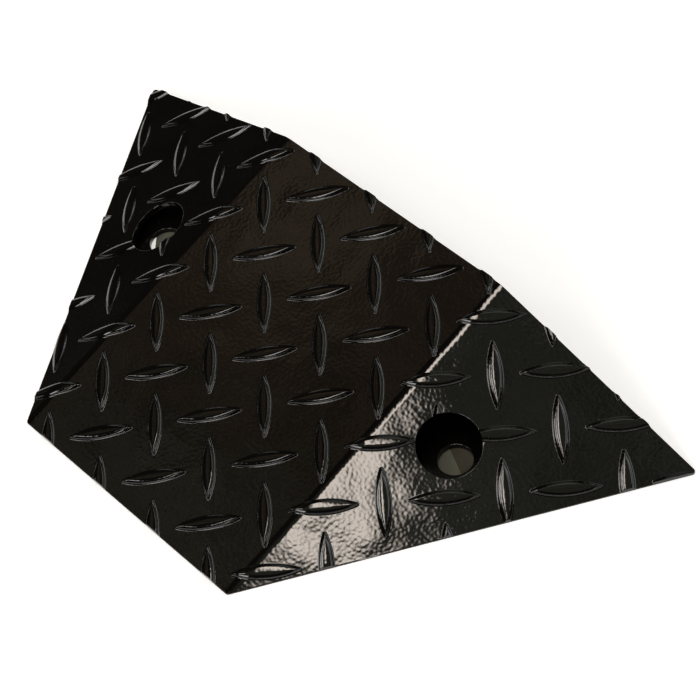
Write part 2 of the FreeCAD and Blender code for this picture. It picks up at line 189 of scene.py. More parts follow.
def vector(tree, x=0.0, y=0.0, z=0.0):
    return add_node(tree, "ShaderNodeCombineXYZ", {"X": x, "Y": y, "Z": z}).outputs[0]


def dot(tree, first, second):
    inputs = {0: first, 1: second}
    node = add_node(tree, "ShaderNodeVectorMath", inputs, operation="DOT_PRODUCT")
    return Number(node.outputs["Value"])


def end_with_coat(tree, geometry, given, made):
    """A tree that makes a piece ends like this: as real geometry, with its material."""
    real = add_node(tree, "GeometryNodeRealizeInstances", {"Geometry": geometry})
    inputs = {"Geometry": real, "Material": given["Material"]}
    coated = add_node(tree, "GeometryNodeSetMaterial", inputs)
    tree.links.new(coated.outputs[0], made.inputs["Geometry"])


def set_position(tree, geometry, *place):
    inputs = {"Geometry": geometry, "Position": vector(tree, *place)}
    return add_node(tree, "GeometryNodeSetPosition", inputs).outputs[0]


# %% [markdown]
# ## Folding by formula
# On the real ramp a press brake folds the flat sheet twice. Here the fold is a small node group.
# A point of the flat sheet has a distance across, a distance uphill and a height above the
# plate's top face. Up to the bend it stays, round the bend it turns about the bend's centre, and
# past the bend it runs straight on. Then the whole sheet is tilted by the slope.
#
# Plate, lugs and holes all go through the same group, so whatever is laid out on the flat sheet
# bends with it, as rolled lugs do.

# %% The press brake
def press_brake():
    tree, given, made = new_tree("GeometryNodeTree", "press_brake", {
        "Geometry": "Geometry",
        "Half Deck": HALF_DECK,
        "Bend Radius": BEND_RADIUS,
        "Fold": FOLD,
        "Slope": SLOPE,
        "Front": FRONT,
        "Nose": NOSE,
    }, {"Geometry": "Geometry"})
    half_deck, radius, fold, slope, front, nose = numbers_given(given)
    across, along, height = position_numbers(tree)
    tangent = radius * (fold / 2.0).math("TANGENT")
    distance = across.math("ABSOLUTE")
    share = ((distance - half_deck + tangent) / (tangent * 2.0)).math("ADD", 0.0, clamp=True)
    turned = fold * share
    beyond = (distance - half_deck - tangent).math("MAXIMUM", 0.0)
    flat_part = distance.math("MINIMUM", half_deck - tangent)
    sine, cosine = turned.math("SINE"), turned.math("COSINE")
    folded_across = flat_part + (radius + height) * sine + beyond * cosine
    folded_height = (radius + height) * cosine - radius - beyond * sine
    slope_sine, slope_cosine = slope.math("SINE"), slope.math("COSINE")
    geometry = set_position(
        tree,
        given["Geometry"],
        folded_across * across.math("SIGN"),
        front + along * slope_cosine - folded_height * slope_sine,
        nose + along * slope_sine + folded_height * slope_cosine,
    )
    tree.links.new(geometry, made.inputs["Geometry"])
    return tree


PRESS_BRAKE = press_brake()


def fold_up(tree, geometry):
    inputs = {"Geometry": geometry}
    return add_node(tree, "GeometryNodeGroup", inputs, node_tree=PRESS_BRAKE).outputs[0]


print("the press brake has", len(PRESS_BRAKE.nodes), "nodes")

# %% [markdown]
# ## Gloss black powder coat
# The paint is a powder that melts in an oven and flows out, but never quite level: it keeps a
# fine ripple called orange peel, a millimetre or two from crest to crest. Straight on it hardly
# shows. Where the edge of a reflection crosses it, the edge goes ragged, and that is how the eye
# tells powder coat from glass.
#
# Every coated surface here has that ripple, a slower swell, some dust and a drift in gloss, each
# with its own amounts. So the effect is one shader group, built once, that puts out a normal, a
# roughness and two masks. The Principled BSDF stays in each material.

# %% The shared coat group
# The scales are in noise cells per metre.
DRIFT_SCALE = 22.0
DRIFT_CONTRAST = 3.0
SPECK_SCALE = 900.0
SPECK_SHARPNESS = 12.0
SPECK_ROUGHNESS = 0.4


def powder_coat_group():
    tree, given, made = new_tree("ShaderNodeTree", "powder_coat", {
        "Ripple Size": 1.7 * MM,
        "Ripple Depth": 0.034 * MM,
        "Swell Size": 24 * MM,
        "Swell Depth": 0.45 * MM,
        "Roughness Low": 0.03,
        "Roughness High": 0.06,
        "Dust": 0.5,
        "Dust Cover": 0.26,
        "Swell Seed": 4.0,
    }, {"Normal": "Vector", "Roughness": "Float", "Dust Mask": "Float", "Drift": "Float"})
    (ripple_size, ripple_depth, swell_size, swell_depth,
     low, high, dust, cover, seed) = numbers_given(given)
    place = add_node(tree, "ShaderNodeTexCoord").outputs["Object"]

    def noise(scale, detail, roughness, slice_at=0.0):
        node = add_node(tree, "ShaderNodeTexNoise", {
            "Vector": place,
            "W": slice_at,
            "Scale": scale,
            "Detail": detail,
            "Roughness": roughness,
        }, noise_dimensions="4D")
        return Number(node.outputs["Fac"])

    ripple = noise(ripple_size.math("POWER", -1.0), 0.0, 0.4) * ripple_depth
    swell = noise(swell_size.math("POWER", -1.0), 1.0, 0.4, seed) * swell_depth
    inputs = {"Strength": 1.0, "Distance": 1.0, "Height": ripple + swell}
    bump = add_node(tree, "ShaderNodeBump", inputs)
    drift = noise(DRIFT_SCALE, 3.0, 0.55)
    specks = noise(SPECK_SCALE, 1.0, 0.5)
    mask = ((specks - 1.0 + cover) * SPECK_SHARPNESS).math("MULTIPLY", dust, clamp=True)
    roughness = low + (high - low) * drift + mask * SPECK_ROUGHNESS
    patchy = ((drift - 0.5) * DRIFT_CONTRAST).math("ADD", 0.5, clamp=True)
    for title, socket in (
        ("Normal", bump.outputs["Normal"]),
        ("Roughness", roughness.socket),
        ("Dust Mask", mask.socket),
        ("Drift", patchy.socket),
    ):
        tree.links.new(socket, made.inputs[title])
    return tree


POWDER_COAT = powder_coat_group()

# %% [markdown]
# ## Four coats from one group
# The tread side gets the full, level coat. The back plate stands upright in the oven, so its coat
# is uneven: glossy where it is thick, greyer where the steel almost shows, and dusty, since it
# faces a wall. Inside the ramp the powder hardly reaches, because the walls draw it off first, so
# that coat is thin and dull. Over the weld beads it is thick again.
#
# The plates inside are seen only through the holes, in shade, so they are kept nearly black.

# %% The materials
DUST = (0.09, 0.08, 0.07, 1.0)


def mix_colour(tree, factor, first, second):
    # A Mix node has inputs for every kind of value. Its two colours are inputs 6 and 7.
    inputs = {0: factor, 6: first, 7: second}
    return add_node(tree, "ShaderNodeMix", inputs, data_type="RGBA").outputs[2]


def coat_material(name, dark, light, amounts):
    material = bpy.data.materials.new(name)
    tree = cleared_tree(material)
    coat = add_node(tree, "ShaderNodeGroup", amounts, node_tree=POWDER_COAT)
    tone = mix_colour(tree, coat.outputs["Drift"], (*dark, 1.0), (*light, 1.0))
    shader = add_node(tree, "ShaderNodeBsdfPrincipled", {
        "Base Color": mix_colour(tree, coat.outputs["Dust Mask"], tone, DUST),
        "Roughness": coat.outputs["Roughness"],
        "Normal": coat.outputs["Normal"],
        "IOR": 1.5,
    })
    add_node(tree, "ShaderNodeOutputMaterial", {"Surface": shader})
    return material


TREAD_COAT = coat_material("tread_coat", (0.0014, 0.0012, 0.0010), (0.0030, 0.0027, 0.0022), {})
BACK_COAT = coat_material("back_coat", (0.0010, 0.0010, 0.0009), (0.0300, 0.0285, 0.0260), {
    "Ripple Size": 1.5 * MM,
    "Ripple Depth": 0.05 * MM,
    "Roughness Low": 0.05,
    "Roughness High": 0.30,
    "Dust": 1.0,
    "Dust Cover": 0.36,
})
INNER_COAT = coat_material("inner_coat", (0.0008, 0.0008, 0.0007), (0.0036, 0.0034, 0.0031), {
    "Ripple Size": 0.9 * MM,
    "Roughness Low": 0.12,
    "Roughness High": 0.24,
    "Dust": 0.6,
})
WELD_COAT = coat_material("weld_coat", (0.0010, 0.0010, 0.0009), (0.0140, 0.0132, 0.0120), {
    "Ripple Size": 1.1 * MM,
    "Roughness Low": 0.05,
    "Roughness High": 0.16,
    "Dust": 1.0,
    "Dust Cover": 0.34,
})
print("materials:", [material.name for material in bpy.data.materials])

# %% [markdown]
# ## The cut and folded sheet
# The sheet starts as a flat bar of plate with its edge loops only where the bends will be. Two
# access holes are punched in it while it is flat, the press brake folds it, and then it is
# trimmed by an upright prism over the footprint. The trim is what bevels the lower edges: they
# have to lie flat on the ground under a sloping plate, which leaves a nose 0.8 mm high.
#
# As a tree the sheet keeps its sizes, and the same tree with other heights makes the envelope
# that the lugs are trimmed to further down.

# %% Holes on the flat sheet
ANCHOR_SPACING = 213.5 * MM
ACCESS_HOLE = 31.75 * MM
ACCESS_BACK = 120.5 * MM
HOLE_BEYOND_BEND = (ANCHOR_SPACING / 2 - HALF_DECK) / math.cos(FOLD)
HOLE_ALONG = (ACCESS_BACK - HOLE_BEYOND_BEND * math.sin(FOLD) * math.sin(SLOPE)) / math.cos(SLOPE)
print(f"access holes {HOLE_BEYOND_BEND / MM:.1f} mm past the bends, "
      f"{HOLE_ALONG / MM:.1f} mm up the sheet")

# %% A tree that cuts and folds the sheet
# Points closer than this are one point, and an edge that turns by more than the angle is eased.
SAME_POINT = 0.001 * MM
EASED_ANGLE = math.radians(35)


def boolean(tree, operation, first, second):
    node = add_node(tree, "GeometryNodeMeshBoolean", operation=operation, solver="MANIFOLD")
    tree.links.new(first, node.inputs["Mesh 1" if operation == "DIFFERENCE" else "Mesh 2"])
    tree.links.new(second, node.inputs["Mesh 2"])
    return node.outputs["Mesh"]


def join(tree, *geometries):
    node = add_node(tree, "GeometryNodeJoinGeometry")
    for geometry in geometries:
        tree.links.new(geometry, node.inputs[0])
    return node.outputs[0]


def move(tree, geometry, across, along):
    inputs = {"Geometry": geometry, "Translation": vector(tree, across, along)}
    return add_node(tree, "GeometryNodeTransform", inputs).outputs[0]


def solid_over(tree, face, height):
    """Extrudes a flat face upwards into a closed solid."""
    up = vector(tree, z=height)
    inputs = {"Mesh": face, "Offset": up, "Offset Scale": 1.0, "Individual": False}
    walls = add_node(tree, "GeometryNodeExtrudeMesh", inputs)
    floor = add_node(tree, "GeometryNodeFlipFaces", {"Mesh": face})
    both = join(tree, walls.outputs["Mesh"], floor.outputs[0])
    inputs = {"Geometry": both, "Distance": SAME_POINT}
    return add_node(tree, "GeometryNodeMergeByDistance", inputs).outputs[0]


def footprint_prism(tree, deck_width, base_width, run, corner_radius, tip_radius, height):
    outline = add_node(tree, "GeometryNodeCurvePrimitiveQuadrilateral", {
        "Bottom Width": deck_width,
        "Top Width": base_width,
        "Height": run,
        "Offset": 0.0,
    }, mode="TRAPEZOID")
    at_back = position_numbers(tree)[1] > 0.0
    radius = at_back * tip_radius + (1.0 - at_back) * corner_radius
    inputs = {"Curve": outline, "Count": 6, "Radius": radius}
    rounded = add_node(tree, "GeometryNodeFilletCurve", inputs, mode="POLY")
    face = add_node(tree, "GeometryNodeFillCurve", {"Curve": rounded}, mode="NGONS")
    return solid_over(tree, face, height)


def cut_and_fold():
    tree, given, made = new_tree("GeometryNodeTree", "cut_and_fold_sheet", {
        "Geometry": "Geometry",
        "Top": 0.0,
        "Bottom": -GAUGE,
        "Deck Width": DECK_WIDTH,
        "Base Width": BASE_WIDTH,
        "Deck Run": DECK_RUN,
        "Deck Length": DECK_LENGTH,
        "Bend Tangent": BEND_RADIUS * math.tan(FOLD / 2),
        "Bend Cuts": 8,
        "Corner Radius": CORNER_RADIUS,
        "Tip Radius": TIP_RADIUS,
        "Hole Across": HALF_DECK + HOLE_BEYOND_BEND,
        "Hole Along": HOLE_ALONG,
        "Hole Diameter": ACCESS_HOLE,
        "Margin": 20 * MM,
        "Clearance": 0.2 * MM,
    }, {"Geometry": "Geometry"})
    (top, bottom, deck_width, base_width, run, length, tangent, cuts, corner_radius, tip_radius,
     hole_across, hole_along, hole_diameter, margin, clearance) = numbers_given(given)

    # The bar's columns are one unit apart, so that a column's number can be read from its place.
    # Each half has cuts + 1 of them round its bend, and one at the sheet's edge.
    columns = (cuts + 2.0) * 2.0
    bar = add_node(tree, "GeometryNodeMeshCube", {
        "Size": vector(tree, columns - 1.0, 1.0, 1.0),
        "Vertices X": columns,
        "Vertices Y": 2,
        "Vertices Z": 2,
    })
    column, end, face = position_numbers(tree)
    line = column.math("ABSOLUTE") - 0.5
    bend_line = deck_width / 2.0 - tangent + line.math("MINIMUM", cuts) / cuts * tangent * 2.0
    past_bend = (line > cuts + 0.5) * base_width
    bar = set_position(
        tree,
        bar.outputs["Mesh"],
        (bend_line + past_bend) * column.math("SIGN"),
        (end + 0.5) * (length + margin * 2.0) - margin,
        (face + 0.5) * (top - bottom) + bottom,
    )

    punch = add_node(tree, "GeometryNodeMeshCylinder", {
        "Vertices": 96,
        "Radius": hole_diameter / 2.0,
        "Depth": margin * 2.0,
    }, fill_type="NGON")
    right = move(tree, punch.outputs["Mesh"], hole_across, hole_along)
    left = move(tree, punch.outputs["Mesh"], hole_across * -1.0, hole_along)
    punched = boolean(tree, "DIFFERENCE", bar, join(tree, right, left))

    prism = footprint_prism(tree, deck_width, base_width, run, corner_radius, tip_radius, run)
    trimmed = boolean(tree, "INTERSECT", fold_up(tree, punched), prism)

    # A sharp edge that stands clear of the ground is marked for the rounding that comes next.
    angle = Number(add_node(tree, "GeometryNodeInputMeshEdgeAngle").outputs["Unsigned Angle"])
    clear = position_numbers(tree)[2] > clearance
    marked = add_node(tree, "GeometryNodeStoreNamedAttribute", {
        "Geometry": trimmed,
        "Name": "bevel_weight_edge",
        "Value": (angle > EASED_ANGLE) * clear,
    }, data_type="FLOAT", domain="EDGE")
    smooth = add_node(tree, "GeometryNodeSetShadeSmooth", {"Geometry": marked})
    tree.links.new(smooth.outputs[0], made.inputs["Geometry"])
    return tree


CUT_AND_FOLD = cut_and_fold()

# %% [markdown]
# ## From a tree to a plain mesh
# A tree works as a modifier on an object. Once a piece is made, its modifiers are turned into its
# own mesh. A report says whether that mesh is closed.

# %% Mesh helpers
def add_object(name, data):
    """A new object in the scene, at the origin."""
    holder = bpy.data.objects.new(name, data)
    bpy.context.scene.collection.objects.link(holder)
    return holder


def mesh_data(name, mesh):
    """Turns an edited mesh into the smooth data of an object."""
    for face in mesh.faces:
        face.smooth = True
    data = bpy.data.meshes.new(name)
    mesh.to_mesh(data)
    mesh.free()
    return data


def bake_modifiers(holder):
    """Turns what an object's modifiers make into its own plain mesh."""
    bpy.context.view_layer.update()
    graph = bpy.context.evaluated_depsgraph_get()
    mesh = bpy.data.meshes.new_from_object(
        holder.evaluated_get(graph), preserve_all_data_layers=True, depsgraph=graph)
    holder.modifiers.clear()
    holder.data = mesh
    mesh.name = holder.name


def run_through(tree, holder, values):
    """Runs an object's mesh through a tree. The values are set by the names of its inputs."""
    modifier = holder.modifiers.new(tree.name, "NODES")
    modifier.node_group = tree
    for item in tree.interface.items_tree:
        if item.in_out == "INPUT" and item.name in values:
            modifier[item.identifier] = values[item.name]
    bake_modifiers(holder)


def grow(name, tree, values):
    """An object whose whole mesh is made by a tree."""
    holder = add_object(name, bpy.data.meshes.new(name))
    run_through(tree, holder, values)
    return holder


def report(holder):
    """Prints how many triangles a mesh has, and whether it is closed."""
    check = bmesh.new()
    check.from_mesh(holder.data)
    open_edges = sum(not edge.is_manifold for edge in check.edges)
    triangles = sum(len(face.verts) - 2 for face in check.faces)
    check.free()
    print(f"{holder.name}: {triangles} triangles, {open_edges} open edges")


# %% [markdown]
# ## Eased edges
# Powder coat gathers on a cut edge and leaves it round. A Bevel modifier does that on the edges
# which the tree marked, with a fixed width: sliding along the loops would make it uneven where
# the long seams of a flat face run into a hole's rim.

# %% Ease the marked edges
EDGE_ROUNDING = 0.35 * MM


def ease_edges(holder):
    bevel = holder.modifiers.new("eased_edges", "BEVEL")
    bevel.limit_method = "WEIGHT"
    bevel.width = EDGE_ROUNDING
    bevel.segments = 3
    bevel.use_clamp_overlap = False
    bevel.loop_slide = False
    bake_modifiers(holder)


plate = grow("tread_plate", CUT_AND_FOLD, {"Top": 0.0, "Bottom": -GAUGE})
ease_edges(plate)
report(plate)

# %% [markdown]
# ## One raised lug
# A lug of tread plate is a lens: two shallow arcs that meet in small round tips. Its side rises
# out of a fillet, turns over a soft shoulder and runs into a domed top, which is nearly flat in
# the middle and falls away faster towards the shoulder. Thick powder coat rounds both the fillet
# and the shoulder, and those two lines are what catch the light.
#
# The mesh is a stack of rings. Each ring is the same pointed lens pushed outwards by some
# distance, so its tips get rounder on the way down. That keeps the rings' points in line, and
# one list of (half width, height) pairs holds the whole section.

# %% Model the lug
LUG_LENGTH = 33.4 * MM
LUG_WIDTH = 7.2 * MM
LUG_HEIGHT = 1.4 * MM
LUG_FLANK = 0.6 * MM
LUG_CROWN = 0.52 * MM
CROWN_POWER = 3.1
FILLET_RADIUS = 1.15 * MM
SHOULDER_RADIUS = 0.28 * MM
# The fillet ends just below the plate's top face, and a skirt runs down from it into the plate,
# so that the two fuse cleanly.
FILLET_SINK = 0.01 * MM
SKIRT_FLARE = 0.15 * MM
SKIRT_EDGE = 0.05 * MM
SKIRT_DEPTH = 0.5 * MM
SIDE_STEPS = 14
TIP_STEPS = 6
ARC_STEPS = 4
# The rings of the top, from its ridge line to near the shoulder, and the ridge's share of length.
CROWN_SHARES = (0.0, 0.25, 0.5, 0.72, 0.9)
RIDGE_SHARE = 0.86


def lug_section():
    """(half width, height) down one side of the lug's middle, from the top's edge to the root."""
    half_foot, half_top = LUG_WIDTH / 2, LUG_WIDTH / 2 - LUG_FLANK
    rise = LUG_HEIGHT - LUG_CROWN
    lean = math.atan2(rise, LUG_FLANK)
    crown_slope = math.atan(CROWN_POWER * LUG_CROWN / half_top)
    section = []
    shoulder = SHOULDER_RADIUS * math.tan((lean - crown_slope) / 2)
    start = half_top - shoulder * math.cos(crown_slope), rise + shoulder * math.sin(crown_slope)
    for step in range(ARC_STEPS + 1):
        turn = crown_slope + (lean - crown_slope) * step / ARC_STEPS
        section.append((start[0] + SHOULDER_RADIUS * (math.sin(turn) - math.sin(crown_slope)),
                        start[1] - SHOULDER_RADIUS * (math.cos(crown_slope) - math.cos(turn))))
    fillet = FILLET_RADIUS * math.tan(lean / 2)
    for step in range(ARC_STEPS, -1, -1):
        turn = lean * step / ARC_STEPS
        section.append((half_foot + fillet - FILLET_RADIUS * math.sin(turn),
                        FILLET_RADIUS * (1 - math.cos(turn)) - FILLET_SINK))
    root = section[-1][0]
    return section + [(root + SKIRT_FLARE, -SKIRT_EDGE), (root, -SKIRT_DEPTH)]


def lug_mesh():
    section = lug_section()
    half_lens, shoulder_height = section[0]
    root = LUG_WIDTH / 2 - half_lens
    tip = LUG_LENGTH / 2 - root
    radius = (tip ** 2 + half_lens ** 2) / (2 * half_lens)
    sweep = math.asin(tip / radius)

    # Once round the lens: a base point on it, and the way out from there.
    outline = []
    for side in (1, -1):
        for step in range(SIDE_STEPS + 1):
            angle = sweep * (1 - 2 * step / SIDE_STEPS)
            way = Vector((side * math.sin(angle), side * math.cos(angle), 0))
            base = way * radius - Vector((0, side * (radius - half_lens), 0))
            outline.append((base, way))
        for step in range(1, TIP_STEPS):
            angle = math.pi / 2 + sweep + (math.pi - 2 * sweep) * step / TIP_STEPS
            way = Vector((side * math.cos(angle), side * math.sin(angle), 0))
            outline.append((Vector((-side * tip, 0, 0)), way))

    levels = []
    for share in CROWN_SHARES:
        height = LUG_HEIGHT - (LUG_HEIGHT - shoulder_height) * share ** CROWN_POWER
        reach = RIDGE_SHARE + (1 - RIDGE_SHARE) * share
        levels.append([(base.x * reach, base.y * share, height) for base, way in outline])
    for half_width, height in section:
        push = half_width - half_lens
        levels.append([base + way * push + Vector((0, 0, height)) for base, way in outline])

    mesh = bmesh.new()
    rings = [[mesh.verts.new(point) for point in level] for level in levels]
    for upper, lower in zip(rings, rings[1:]):
        for index in range(len(outline)):
            following = (index + 1) % len(outline)
            mesh.faces.new((upper[index], upper[following], lower[following], lower[index]))
    mesh.faces.new(rings[-1])
    bmesh.ops.remove_doubles(mesh, verts=mesh.verts, dist=SAME_POINT)
    bmesh.ops.recalc_face_normals(mesh, faces=mesh.faces)
    return mesh_data("lug", mesh)


lug = add_object("lug", lug_mesh())
report(lug)
print("lug size in mm:", [round(x / MM, 2) for x in lug.dimensions])

# %% [markdown]
# ## The lug pattern
# Rolled tread plate repeats on a square grid that stands on its corner, and each lug lies across
# its neighbours. So the tree makes a grid, turns it by 45 degrees, puts a lug on every point that
# the flat sheet reaches, and turns every second one the other way. The odd number of points in a
# row makes that as simple as asking whether a point's index is odd.
#
# The lugs go through the same press brake as the sheet. Then they are trimmed to an envelope, the
# cut and folded sheet once more, only as thick as the lugs are high, with eased edges and holes
# of its own. What is left is fused to the plate, so that the cover is one closed skin.

# %% A tree that lays the lugs
LUG_PITCH = 28.575 * MM
PATTERN_ACROSS = -18.0 * MM
PATTERN_ALONG = -0.3 * MM
CREASE_ANGLE = math.radians(40)


def lay_lugs():
    tree, given, made = new_tree("GeometryNodeTree", "lay_lugs", {
        "Geometry": "Geometry",
        "Lug": "Object",
        "Envelope": "Object",
        "Pitch": LUG_PITCH,
        "Lugs In A Row": 27,
        "Pattern Across": PATTERN_ACROSS,
        "Pattern Along": PATTERN_ALONG,
        "Half Deck": HALF_DECK,
        "Deck Length": DECK_LENGTH,
        "Side Slant": TIP_ACROSS / TIP_ALONG,
        "Reach": LUG_LENGTH / 2,
        "Material": "Material",
    }, {"Geometry": "Geometry"})
    (pitch, row, pattern_across, pattern_along,
     half_deck, length, slant, reach) = numbers_given(given)

    span = pitch * (row - 1.0)
    grid = add_node(tree, "GeometryNodeMeshGrid", {
        "Size X": span,
        "Size Y": span,
        "Vertices X": row,
        "Vertices Y": row,
    })
    on_corner = add_node(tree, "GeometryNodeTransform", {
        "Geometry": grid.outputs["Mesh"],
        "Rotation": Euler((0, 0, math.radians(45))),
    })
    sites = move(tree, on_corner, pattern_across, pattern_along)

    across, along = position_numbers(tree)[:2]
    ahead = (along + reach) > 0.0
    behind = along < length + reach
    # Half as much again, because the sides run at a slant.
    inside = across.math("ABSOLUTE") < half_deck + along * slant + reach * 1.5
    odd = Number(add_node(tree, "GeometryNodeInputIndex").outputs[0]).math("MODULO", 2.0)
    lug_info = add_node(tree, "GeometryNodeObjectInfo", {"Object": given["Lug"]})
    placed = add_node(tree, "GeometryNodeInstanceOnPoints", {
        "Points": sites,
        "Selection": ahead * behind * inside,
        "Instance": lug_info.outputs["Geometry"],
        "Rotation": vector(tree, z=(odd - 0.5) * math.radians(90)),
    })
    lugs = add_node(tree, "GeometryNodeRealizeInstances", {"Geometry": placed})

    envelope = add_node(tree, "GeometryNodeObjectInfo", {"Object": given["Envelope"]})
    folded = fold_up(tree, lugs)
    trimmed = boolean(tree, "INTERSECT", folded, envelope.outputs["Geometry"])
    cover = boolean(tree, "UNION", trimmed, given["Geometry"])

    # Only true corners stay sharp: the ends of trimmed lugs and the line on the ground.
    angle = Number(add_node(tree, "GeometryNodeInputMeshEdgeAngle").outputs["Unsigned Angle"])
    inputs = {"Geometry": cover, "Selection": angle > CREASE_ANGLE, "Shade Smooth": False}
    creased = add_node(tree, "GeometryNodeSetShadeSmooth", inputs, domain="EDGE")
    end_with_coat(tree, creased, given, made)
    return tree


LAY_LUGS = lay_lugs()

# %% Lay the lugs on the sheet
ENVELOPE_TOP = LUG_HEIGHT + 0.1 * MM
ENVELOPE_BOTTOM = -1.0 * MM
envelope = grow("lug_envelope", CUT_AND_FOLD, {"Top": ENVELOPE_TOP, "Bottom": ENVELOPE_BOTTOM})
ease_edges(envelope)

run_through(LAY_LUGS, plate, {"Lug": lug, "Envelope": envelope, "Material": TREAD_COAT})
for helper in (lug, envelope):
    bpy.data.objects.remove(helper)


def keep_flats_flat(holder):
    """Weighted normals: a large face keeps its own shading, and the narrow ones beside it turn."""
    weighted = holder.modifiers.new("weighted_normals", "WEIGHTED_NORMAL")
    weighted.keep_sharp = True
    weighted.weight = 80
    bake_modifiers(holder)


keep_flats_flat(plate)
plate.name = plate.data.name = "coated_tread_cover"
report(plate)
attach(plate, "root")
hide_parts("tread_cover")

# %% [markdown]
# ## The plates inside
# Under the cover stand a back plate and three ribs, and two anchor plates lie on the ground. They
# are plain bars and plates, and the CAD nodes already have their exact shape. Each piece here is
# a copy of its node with its loose triangles merged and its edges eased, since a saw or a laser
# leaves an edge that the coat then rounds.

# %% Eased copies of the CAD plates
FLAT_ANGLE = math.radians(0.5)


def cad_copy(node, name):
    """A node's shape as a clean mesh, its sharp edges marked for easing."""
    mesh = bmesh.new()
    mesh.from_mesh(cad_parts[node].data)
    bmesh.ops.remove_doubles(mesh, verts=mesh.verts, dist=SAME_POINT)
    bmesh.ops.dissolve_limit(mesh, angle_limit=FLAT_ANGLE, verts=mesh.verts, edges=mesh.edges)
    marks = mesh.edges.layers.float.new("bevel_weight_edge")
    for edge in mesh.edges:
        edge[marks] = float(edge.calc_face_angle() > EASED_ANGLE)
    return add_object(name, mesh_data(name, mesh))


PLATES = [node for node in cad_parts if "weld" not in node and node != "tread_cover"]
for node in PLATES:
    piece = cad_copy(node, f"coated_{node}")
    ease_edges(piece)
    keep_flats_flat(piece)
    piece.data.materials.append(BACK_COAT if node == "back_plate" else INNER_COAT)
    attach(piece, "root")
    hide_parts(node)
    report(piece)

# %% [markdown]
# ## Weld beads
# A weld is laid as a row of small pools, each one frozen over the edge of the last, so a bead has
# crescent ripples all the way along. A tree makes that from bare lines: it sweeps a round section
# along each line, swells and narrows it once per pool, and curves each ripple like the round back
# of a pool. The ends are rounded off, as where the arc starts and stops.
#
# The lines lie in the corners where the CAD solids have their fillets, worked out from the same
# sizes: under the deck the height follows the slope, and under a flange it also falls sideways.

# %% Corners under the cover
FLANGE_TILT = math.acos(math.cos(SLOPE) * math.cos(FOLD))


def under_deck(across, back):
    return Vector((across, FRONT + back, NOSE - GAUGE / math.cos(SLOPE) + back * math.tan(SLOPE)))


def under_flange(across, back):
    fall = (abs(across) - HALF_DECK) * math.tan(FOLD) / math.cos(SLOPE)
    height = NOSE + back * math.tan(SLOPE) - fall - GAUGE / math.cos(FLANGE_TILT)
    return Vector((across, FRONT + back, height))


# %% A tree that lays weld beads along lines
RIPPLE_PITCH = 1.7 * MM
STEPS_PER_RIPPLE = 6.0
# A bead's end keeps a small face, and a ripple rises in the first fifth of its pool.
END_FACE = 0.02
RIPPLE_RISE = 5.0
WANDER_SCALE = 240.0


def weld_tree():
    tree, given, made = new_tree("GeometryNodeTree", "weld_beads", {
        "Geometry": "Geometry",
        "Ripple Pitch": RIPPLE_PITCH,
        "Ripple Depth": 0.16 * MM,
        "Crescent": 1.1,
        "Wander": 0.25 * MM,
        "Material": "Material",
    }, {"Geometry": "Geometry"})
    pitch, depth, crescent, wander = numbers_given(given)

    def stored(name, data_type="FLOAT"):
        kind = "GeometryNodeInputNamedAttribute"
        return add_node(tree, kind, {"Name": name}, data_type=data_type).outputs[0]

    lines = add_node(tree, "GeometryNodeMeshToCurve", {"Mesh": given["Geometry"]})
    inputs = {"Curve": lines, "Length": pitch / STEPS_PER_RIPPLE}
    steps = add_node(tree, "GeometryNodeResampleCurve", inputs, mode="LENGTH")
    along = Number(add_node(tree, "GeometryNodeSplineParameter").outputs["Length"])
    full = Number(add_node(tree, "GeometryNodeSplineLength").outputs["Length"])
    radius = Number(stored("bead_radius"))
    from_end = along.math("MINIMUM", full - along) / radius
    blunt = (1.0 - from_end.math("MINIMUM", 1.0)).math("POWER", 2.0)
    rounding = (1.0 + END_FACE - blunt).math("SQRT")
    inputs = {"Geometry": steps, "Name": "run", "Value": along}
    measured = add_node(tree, "GeometryNodeStoreNamedAttribute", inputs, data_type="FLOAT")
    inputs = {"Curve": measured, "Radius": radius * rounding}
    sized = add_node(tree, "GeometryNodeSetCurveRadius", inputs)
    section = add_node(tree, "GeometryNodeCurvePrimitiveCircle", {"Resolution": 12, "Radius": 1.0})
    swept = add_node(tree, "GeometryNodeCurveToMesh", {
        "Curve": sized,
        "Profile Curve": section,
        "Fill Caps": True,
        "Scale": add_node(tree, "GeometryNodeInputRadius"),
    })

    # Ripples: one per pool, its sides further along the bead than its middle.
    normal = add_node(tree, "GeometryNodeInputNormal").outputs[0]
    further = (1.0 - dot(tree, normal, stored("facing", "FLOAT_VECTOR"))) * crescent
    pool = (Number(stored("run")) / pitch - further).math("FRACT")
    swell = (1.0 - pool) * (pool * RIPPLE_RISE).math("MINIMUM", 1.0)
    unevenness = add_node(tree, "ShaderNodeTexNoise", {"Scale": WANDER_SCALE, "Detail": 1.0})
    height = swell * depth + (Number(unevenness.outputs["Fac"]) - 0.5) * wander
    push = add_node(tree, "ShaderNodeVectorMath", {0: normal, "Scale": height}, operation="SCALE")
    rippled = add_node(tree, "GeometryNodeSetPosition", {"Geometry": swept, "Offset": push})
    smooth = add_node(tree, "GeometryNodeSetShadeSmooth", {"Geometry": rippled})
    end_with_coat(tree, smooth, given, made)
    return tree


WELD_BEADS = weld_tree()


def weld_lines(name, lines):
    """Bare lines with what the tree needs: each line is (points, way out, bead radius)."""
    mesh = bmesh.new()
    facing = mesh.verts.layers.float_vector.new("facing")
    bead_radius = mesh.verts.layers.float.new("bead_radius")
    for points, way_out, radius in lines:
        corners = [mesh.verts.new(point) for point in points]
        for corner in corners:
            corner[facing] = way_out.normalized()
            corner[bead_radius] = radius
        for first, second in zip(corners, corners[1:]):
            mesh.edges.new((first, second))
    return mesh_data(name, mesh)


def weld(name, node, lines):
    piece = add_object(name, weld_lines(name, lines))
    run_through(WELD_BEADS, piece, {"Material": WELD_COAT})
    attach(piece, "root")
    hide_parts(node)
    report(piece)


